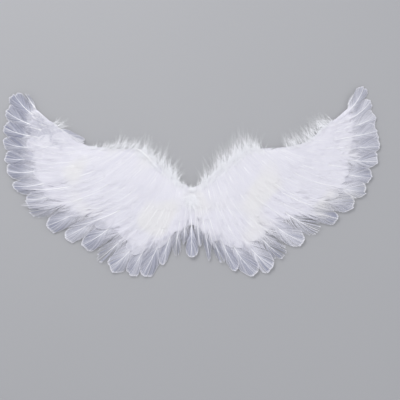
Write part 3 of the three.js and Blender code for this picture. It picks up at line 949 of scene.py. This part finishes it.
class WING_OT_bands(bpy.types.Operator):
    """Add the elastic shoulder bands with the stitches at their ends"""

    bl_idname = "wings.add_bands"
    bl_label = "Add shoulder bands"

    def execute(self, context):
        for side in SIDES:
            self.add_band(side, context.scene.wing_back)
        return {"FINISHED"}

    def add_band(self, side, settings):
        node = f"shoulder_band_{side}"
        low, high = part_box(node)
        size, middle = high - low, (low + high) / 2
        bm = bmesh.new()
        bmesh.ops.create_grid(bm, x_segments=settings.ribs * 4, y_segments=60, size=0.5)
        depth = size.z * 0.8
        rib = size.z * 0.08
        corner = size.x / 4
        for vertex in bm.verts:
            across, along = vertex.co.x, vertex.co.y
            from_end = (0.5 - abs(along)) * size.y
            inset = corner - math.sqrt(max(corner**2 - max(corner - from_end, 0) ** 2, 0))
            width = size.x - 2 * inset
            wave = rib * math.cos(across * settings.ribs * 2 * math.pi)
            vertex.co = middle + Vector((across * width, along * size.y, depth / 2 + wave))
        bmesh.ops.solidify(bm, geom=bm.faces, thickness=depth)
        bmesh.ops.recalc_face_normals(bm, faces=bm.faces)
        for face in bm.faces:
            face.smooth = True
        for end in (-1, 1):
            self.add_stitches(bm, middle, size, end, settings.stitch_length)
        name = f"elastic_band_{side}"
        band = put(name, mesh_of(bm, name))
        band.data.materials.append(material("elastic"))
        keep(band, "elastic_band", node)

    def add_stitches(self, bm, middle, size, end, length):
        """A sewn square: four runs of short stitches on the underside."""
        half = size.x * 0.36
        centre = middle + Vector((0, end * (size.y / 2 - half * 1.5), 0))
        thread = length * 0.11
        for turn in range(4):
            spin = Matrix.Rotation(turn * math.pi / 2, 4, "Z")
            for step in (-1, 0, 1):
                place = spin @ Vector((half, step * length * 1.25, 0))
                lie = Matrix.Translation(centre + place + Vector((0, 0, thread - size.z / 2)))
                rest = lie @ spin @ Matrix.Rotation(math.pi / 2, 4, "X")
                bmesh.ops.create_cone(
                    bm, cap_ends=True, segments=8, radius1=thread, radius2=thread, depth=length,
                    matrix=rest)


class WING_OT_long_feathers(bpy.types.Operator):
    """Add the long feathers round the rim and the one in the middle"""

    bl_idname = "wings.add_long_feathers"
    bl_label = "Add long feathers"
    sway = 2.2 * MM

    def execute(self, context):
        names = [name for name in NODES if name.startswith("feather_")]
        for index, node in enumerate(sorted(names)):
            rng = np.random.default_rng(LONG_FEATHER_SEED + index)
            self.add_feather(node, rng)
        return {"FINISHED"}

    def add_feather(self, node, rng):
        side = -1 if "left" in node else 1
        points = node_points(node)
        at, root, tip = self.along_and_ends(node, points, side)
        reach = np.linspace(root, tip + TIP_SHIFTS.get(node, 0), LONG_STATIONS)
        places = LAYOUT.point(side, np.full(reach.shape, at), reach)
        if node == "feather_centre":
            places[:, 0] = points[:, 0].mean()
        half = self.half_width(points[:, :2], places)
        spine = self.spine_on(node, places, half, rng.normal() * self.sway - TIP_BENDS.get(node, 0) * MM)
        edge = board_share(at)
        # Painted shade for the dark seen through the vane past the board, stronger or weaker along the wing
        thin = veil_shade_share(side, at)
        veil_shade_at = lambda down, out: thin * veil_shade_at_depth(np.interp(down, spine.lengths, reach) / edge)
        plumage = Plumage()
        full = RIM_VANE._replace(round_share=rng.uniform(0.78, 0.86), blunt=rng.uniform(1.8, 2.6))
        vane = VANES.get(node, full)
        if node != "feather_centre":
            vane = vane._replace(slant=vane.slant + rng.uniform(-0.1, 0.1))
        lay_feather(plumage, rng, spine, 2 * half, vane, rng.normal() * 0.25, veil_shade_at)
        piece = plumage.build(f"long_{node}", [material("feather vane"), material("quill")])
        keep(piece, "long_feather", node)

    def along_and_ends(self, node, points, side):
        """Shares of the wing and of the feather line that a solid long feather takes."""
        shares = shares_of(points, side)
        farthest = shares[:, 1] >= shares[:, 1].max() - 0.004
        at = shares[farthest, 0].mean() if node != "feather_centre" else 0.0
        reach = np.linspace(0, 1.2, 601)
        line = LAYOUT.point(side, np.full(reach.shape, at), reach)
        nearest = reach[np.linalg.norm(points[:, None, :2] - line[None], axis=2).argmin(1)]
        return at, nearest.min(), nearest.max()

    def half_width(self, points, places):
        gaps = np.linalg.norm(points[:, None, :] - places[None, :, :], axis=2).min(1)
        return gaps.max()

    def spine_on(self, node, places, half, sway):
        surface = node_surface(node)
        middle = Spine(places, np.zeros(len(places)), np.zeros(len(places)))
        inner = slice(1, -2)
        sides = [tops(surface, (places + edge * half * 0.35 * middle.across)[inner]) for edge in (-1, 1)]
        steps = middle.lengths[inner]
        height = np.interp(middle.lengths, steps, (sides[0] + sides[1]) / 2)
        slope = np.interp(middle.lengths, steps, (sides[1] - sides[0]) / (half * 0.7))
        bent = places + middle.across * (sway * np.linspace(0, 1, len(places)) ** 3)[:, None]
        return Spine(bent, height, slope)


class WING_OT_coverts(bpy.types.Operator):
    """Add the rows of short feathers over the board"""

    bl_idname = "wings.add_coverts"
    bl_label = "Add short feathers"
    tilt = 0.015

    def execute(self, context):
        settings = context.scene.wing_feathers
        for index, (row, side) in enumerate((row, side) for row in COVERT_ROWS for side in SIDES):
            rng = np.random.default_rng(COVERT_SEED + index)
            self.add_row(f"{row}_{side}", SIDES[side], rng, settings)
        return {"FINISHED"}

    def add_row(self, node, side, rng, settings):
        points = node_points(node)
        shares = shares_of(points, side)
        depths = shares[:, 1] / board_share(shares[:, 0])
        start, end = shares[:, 0].min(), shares[:, 0].max()
        root, tip = depths.min(), depths.max()
        surface = node_surface(node)
        seat = lambda places: tops(surface, places)
        plumage = Plumage()
        inner, outer = "inner" in node, "outer" in node
        for number in range(settings.coverts_a_row):
            layer = (number * GOLDEN_SHARE + 0.15 * rng.random()) % 1
            along = lerp(start, end, (number + rng.uniform(0.1, 0.9)) / settings.coverts_a_row)
            strand = outer and rng.random() < 0.45
            farthest = tip + 0.04 - (tip - root) * 0.5 * layer + (0.3 * rng.random() if strand else 0)
            nearest = 0 if inner else max(farthest - (tip - root) * rng.uniform(0.8, 1.0), root * 0.6)
            broad = not strand and rng.random() < 0.5 and along < 0.88
            vane = STRAND_VANE if strand else BROAD_VANE if broad else COVERT_VANE
            if number % BOLD_SHAFTS == 0 and not inner:
                vane = vane._replace(shaft_width=BOLD_SHAFT_WIDTH)
            narrowing = lerp(1, 0.45, smoothstep(along, 0.86, 1))
            width = settings.covert_width * rng.uniform(0.65, 0.9) * (1.5 if broad else narrowing)
            self.add_covert(plumage, rng, seat, side, along, (nearest, farthest), layer, width, vane)
        if inner:
            self.add_edge_feathers(plumage, rng, node, side, settings)
            self.add_centre_feathers(plumage, rng, side, settings)
        piece = plumage.build(f"short_{node}", [material("covert vane"), material("quill")])
        keep(piece, "covert_feather", node)

    def add_covert(self, plumage, rng, seat, side, along, depths, layer, width, vane, dip=0.0):
        part = np.linspace(0, 1, SHORT_STATIONS)
        depth = lerp(depths[0], depths[1], part)
        sweep = SWEEPS[side] * smoothstep(along, 0.12, 0.4) * (1 - smoothstep(along, 0.7, 0.95))
        alongs = along + rng.normal() * 0.007 * part**2 + sweep * (depth - depth.mean())
        places = LAYOUT.point(side, alongs, depth * board_share(alongs))
        smooth = np.polyval(np.polyfit(part, seat(places), 2), part)
        past_board = np.maximum(depth - 1.08, 0)
        droop = 0.9 * MM * smoothstep(part, 0.3, 1) + 9 * MM * past_board
        droop = droop + dip * (1 - smoothstep(part, 0, 0.4))
        heights = smooth - droop + 0.6 * MM * layer
        spine = Spine(places, heights, np.full(SHORT_STATIONS, rng.normal() * self.tilt))
        # Painted shade for the dark seen through the vane past the board; on the left wing it also darkens
        # the short feathers towards the wrist, over the board too
        thin = 0.7 * veil_shade_share(side, along)
        wrist = 0.38 * smoothstep(along, 0.72, 0.88) if side < 0 else 0
        veil_shade_at = lambda down, out: wrist + thin * veil_shade_at_depth(np.interp(down, spine.lengths, depth))
        lay_feather(plumage, rng, spine, width, vane, rng.normal() * 0.8, veil_shade_at)

    def add_edge_feathers(self, plumage, rng, node, side, settings):
        """Feathers laid along the leading edge, where they hide the margin of the board."""
        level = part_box(node)[0].z + 1.1 * MM
        plain = lambda down, out: np.zeros(down.shape)
        for start in np.linspace(0.0, 0.86, 26):
            run = rng.uniform(0.12, 0.17)
            reach = (rng.uniform(0.02, 0.045), rng.uniform(0.008, 0.03))
            width = settings.covert_width * rng.uniform(0.45, 0.6)
            alongs = (start, start + run)
            self.add_edge_feather(plumage, rng, side, alongs, reach, width, level, EDGE_VANE, plain)
        for row in (row for row in EDGE_FEATHERS if SIDES[row.side] == side):
            # Painted shade for the dark seen through the part of the vane past the leading edge
            outside = lambda down, out: row.veil * smoothstep(-side * out, -0.002, 0.002)
            vane = FOLD_VANE._replace(shaft_width=row.shaft)
            alongs, reaches = (row.start, row.end), (row.reach_start, row.reach_end)
            self.add_edge_feather(
                plumage, rng, side, alongs, reaches, row.width, level + row.lift, vane, outside)

    def add_edge_feather(self, plumage, rng, side, alongs, reaches, width, level, vane, veil_shade_at):
        part = np.linspace(0, 1, SHORT_STATIONS)
        places = LAYOUT.point(side, lerp(*alongs, part), lerp(*reaches, part))
        heights = np.full(SHORT_STATIONS, level + rng.uniform(0, 0.4) * MM)
        spine = Spine(places, heights, np.zeros(SHORT_STATIONS))
        lay_feather(plumage, rng, spine, width, vane, rng.normal() * 0.4, veil_shade_at)

    def add_centre_feathers(self, plumage, rng, side, settings):
        """Feathers that fall from the tuft over the middle, where the rows of both wings meet."""
        surface = node_surface("feather_centre")
        seat = lambda places: tops(surface, places * (0, 1) + (LAYOUT.middle_x, 0))
        for _ in range(10):
            along = rng.uniform(-0.03, 0.06)
            depths = (rng.uniform(-0.03, 0.25), rng.uniform(0.7, 1.15))
            width = settings.covert_width * rng.uniform(0.5, 0.8)
            layer = rng.uniform(1, 2.5)
            self.add_covert(plumage, rng, seat, side, along, depths, layer, width, CENTRE_VANE, dip=4 * MM)


class WING_OT_down(bpy.types.Operator):
    """Add the down along the leading edges and the tuft in the middle"""

    bl_idname = "wings.add_down"
    bl_label = "Add down"
    on_edge = 0.0031
    window = 0.06
    shortest_lock = 4 * MM
    tuft_plumes = 600
    lowest, bend_from, bend_height = 0.4 * MM, 11 * MM, 7 * MM
    wisp_spread, fluff_spread = 0.16, 0.24

    def execute(self, context):
        settings = context.scene.wing_down
        trims = sorted(name for name in NODES if name.startswith("down_"))
        for index, node in enumerate(trims):
            rng = np.random.default_rng(DOWN_SEED + index)
            plumes = (self.tuft if node == "down_tuft" else self.trim)(node, rng, settings)
            plumage = Plumage()
            self.lay_plumes(plumage, rng, *plumes, settings.barb_width)
            piece = plumage.build(f"fluff_{node}", [material("down")])
            keep(piece, "down", node)
        return {"FINISHED"}

    def trim(self, node, rng, settings):
        """Roots on the leading edge, headings, lengths that reach the solid's locks, spreads and tones."""
        side = -1 if "left" in node else 1
        points = node_points(node)
        low, high = points[:, 2].min(), points[:, 2].max()
        alongs = np.linspace(0, 1, EDGE_STATIONS)
        line = LAYOUT.point(side, alongs, np.zeros(EDGE_STATIONS))
        gaps = np.linalg.norm(points[:, None, :2] - line[None], axis=2)
        nearest = alongs[gaps.argmin(1)]
        wisps = WISPS[node]
        span = (alongs >= nearest.min()) & (alongs <= nearest.max() + wisps.past)
        run = np.concatenate([[0], np.cumsum(np.linalg.norm(np.diff(line[span], axis=0), axis=1))])
        outside = shares_of(points, side)[:, 1] <= self.on_edge
        near = {stop: outside & (abs(nearest - stop) < self.window) for stop in alongs[::20]}
        stops = [stop for stop, found in near.items() if found.any()]
        locks = [gaps[near[stop]].min(1).max() for stop in stops]

        spacing = settings.plume_spacing * (settings.thin_spacing if "outer" in node else 1)
        count = int(run[-1] / spacing)
        place = rng.random(count) * run[-1]
        along = np.interp(place, run, alongs[span])
        grown = (along < wisps.bare_from) | (along > wisps.bare_to)
        place, along, count = place[grown], along[grown], int(grown.sum())
        tufts = np.arange(0, run[-1] + settings.tuft_width, settings.tuft_width)
        tuft_turn = np.interp(place, tufts, rng.normal(size=len(tufts)))
        tuft_size = np.interp(place, tufts, rng.normal(size=len(tufts)))
        reach = 0.07 * rng.random(count) ** 1.4 - 0.004
        if "outer" in node:
            reach *= 0.4
        places = LAYOUT.point(side, along, reach)
        inside = LAYOUT.point(side, along, np.full(count, 0.06))
        outward = LAYOUT.point(side, along, np.zeros(count)) - inside
        outward /= np.linalg.norm(outward, axis=1)[:, None]
        turn = wisps.turn * lerp(0.5, 1, smoothstep(along, 0.1, 0.3))
        turn *= lerp(1, 2.2, smoothstep(along, 0.7, 0.95))
        turn += 0.18 * tuft_turn + 0.32 * rng.normal(size=count)
        lean = np.clip(0.1 + 0.16 * rng.normal(size=count), -0.15, 0.5)
        out_x, out_y = outward.T
        flat = np.stack([out_x * np.cos(turn) - out_y * np.sin(turn),
                         out_x * np.sin(turn) + out_y * np.cos(turn)], axis=1)
        headings = np.column_stack([flat * np.cos(lean)[:, None], np.sin(lean)])
        roots = np.column_stack([places, rng.uniform(low + 0.8 * MM, lerp(low, high, 0.5), count)])
        full = np.maximum(np.interp(along, stops, locks), self.shortest_lock)
        full *= (1 + 0.12 * tuft_size) * lerp(0.8, 1, smoothstep(along, 0.03, 0.14))
        full *= lerp(1, 1.8, smoothstep(along, 0.84, 0.93))
        full *= lerp(0.25, 1, smoothstep(np.abs(along - wisps.bare_from), 0, 0.15))
        wisp = rng.random(count) < wisps.share
        size = np.where(wisp, wisps.stretch * rng.uniform(0.5, 1, count), rng.uniform(0.4, 0.95, count))
        spreads = np.where(wisp, self.wisp_spread, self.fluff_spread)
        return roots, headings, full * size, spreads, np.where(wisp, -0.4, 0)

    def tuft(self, node, rng, settings):
        low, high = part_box(node)
        size, middle = high - low, (low + high) / 2
        count = self.tuft_plumes
        angle = rng.uniform(0, 2 * math.pi, count)
        share = np.sqrt(rng.random(count)) * 0.8
        x = middle.x + np.cos(angle) * share * size.x / 2
        y = middle.y + np.sin(angle) * share * size.y / 2
        roots = np.column_stack([x, y, rng.uniform(low.z, lerp(low.z, high.z, 0.6), count)])
        upward = np.sin(angle) * share > 0.35
        turn = rng.normal(size=count) * 0.8 + (x - middle.x) / size.x
        lean = rng.uniform(0.0, 0.25, count)
        way = np.where(upward, 1.0, -1.0)
        headings = np.column_stack(
            [np.sin(turn) * np.cos(lean), way * np.cos(turn) * np.cos(lean), np.sin(lean)])
        lengths = size.x * rng.uniform(0.6, 1.5, count) * np.where(upward, rng.uniform(0.2, 0.65, count), 1)
        return roots, headings, lengths, np.full(count, 0.2), np.full(count, 4)

    def lay_plumes(self, plumage, rng, roots, headings, lengths, spreads, tones, barb_width):
        """Adds plumes of down: fine barbs that leave a short spine and curl a little away from it."""
        plumes, barbs, stations = len(roots), 10, 4
        start = np.linspace(0.0, 0.5, barbs)[None, :, None]
        sag = np.array([0, 0, -1.0])
        spine = (roots[:, None, :] + headings[:, None, :] * lengths[:, None, None] * start
                 + sag * (lengths[:, None, None] * 0.15 * start**2))
        wild = rng.normal(size=(plumes, barbs, 3)) * np.array([1, 1, 0.4])
        side = np.cross(headings[:, None, :], wild)
        side /= np.linalg.norm(side, axis=2)[..., None]
        side[..., 2] *= 0.5
        side *= spreads[:, None, None]
        curl = rng.normal(size=(plumes, barbs, 3)) * np.array([0.5, 0.5, 0.25]) * spreads[:, None, None]
        reach = lengths[:, None] * (0.25 + 0.55 * rng.random((plumes, barbs)) ** 1.6)
        t = np.linspace(0, 1, stations)
        path = (spine[:, :, None, :] + reach[:, :, None, None] * (
            headings[:, None, None, :] * (t**1.1)[None, None, :, None]
            + side[:, :, None, :] * (1 - (1 - t) ** 1.6)[None, None, :, None]
            + curl[:, :, None, :] * (t**2)[None, None, :, None]))
        above = np.maximum(path[..., 2] - self.bend_from, 0)
        path[..., 2] += self.bend_height * np.tanh(above / self.bend_height) - above
        path[..., 2] = np.maximum(path[..., 2], self.lowest)
        tangent = np.gradient(path, axis=2)
        broad = np.cross(tangent, rng.normal(size=(plumes, barbs, 1, 3)) * 0.35 + np.array([0, 0, 1.0]))
        broad /= np.linalg.norm(broad, axis=3)[..., None] + 1e-9
        thin = lerp(0.55, 1.0, smoothstep(spreads, self.wisp_spread, 0.22))[:, None, None, None]
        half = barb_width / 2 * lerp(1.0, 0.2, t)[None, None, :, None] * thin
        points = np.stack([path - broad * half, path + broad * half], axis=3).reshape(-1, 3)
        faces = facing_up(points, ribbon_faces(plumes * barbs, stations))
        shape = (plumes, barbs, stations, 2)
        tones = np.broadcast_to(tones[:, None, None, None] + rng.normal(size=(plumes, barbs, 1, 1)), shape)
        rims = np.broadcast_to(t[None, None, :, None], shape)
        marks = np.stack([tones, rims, np.zeros(shape)], axis=-1).reshape(-1, 3)
        numbers = np.arange(plumes * barbs).reshape(plumes, barbs, 1, 1)
        across = np.broadcast_to(np.array([0.0, 1.0]), shape) + numbers
        uvs = np.stack([across, rims], axis=-1).reshape(-1, 2)
        plumage.add(points, faces, marks, uvs)


OPERATORS = (
    WING_OT_stage,
    WING_OT_board,
    WING_OT_bands,
    WING_OT_long_feathers,
    WING_OT_coverts,
    WING_OT_down,
)


class WING_PT_panel(bpy.types.Panel):
    """Lists the steps and the settings of the wings"""

    bl_idname = "WING_PT_panel"
    bl_label = "Feather wings"
    bl_space_type = "VIEW_3D"
    bl_region_type = "UI"
    bl_category = "Wings"

    def draw(self, context):
        for operator in OPERATORS:
            self.layout.operator(operator.bl_idname)
        for key, settings in SETTINGS.items():
            column = self.layout.column()
            for name in settings.__annotations__:
                column.prop(getattr(context.scene, key), name)


CLASSES = (*SETTINGS.values(), *OPERATORS, WING_PT_panel)


def register():
    for cls in CLASSES:
        bpy.utils.register_class(cls)
    for key, settings in SETTINGS.items():
        setattr(bpy.types.Scene, key, PointerProperty(type=settings))


def unregister():
    for key in SETTINGS:
        delattr(bpy.types.Scene, key)
    for cls in reversed(CLASSES):
        bpy.utils.unregister_class(cls)


def main():
    register()
    bpy.ops.wings.add_stage()
    bpy.ops.wings.add_board()
    bpy.ops.wings.add_bands()
    bpy.ops.wings.add_long_feathers()
    bpy.ops.wings.add_coverts()
    bpy.ops.wings.add_down()


if __name__ == "__main__":
    main()
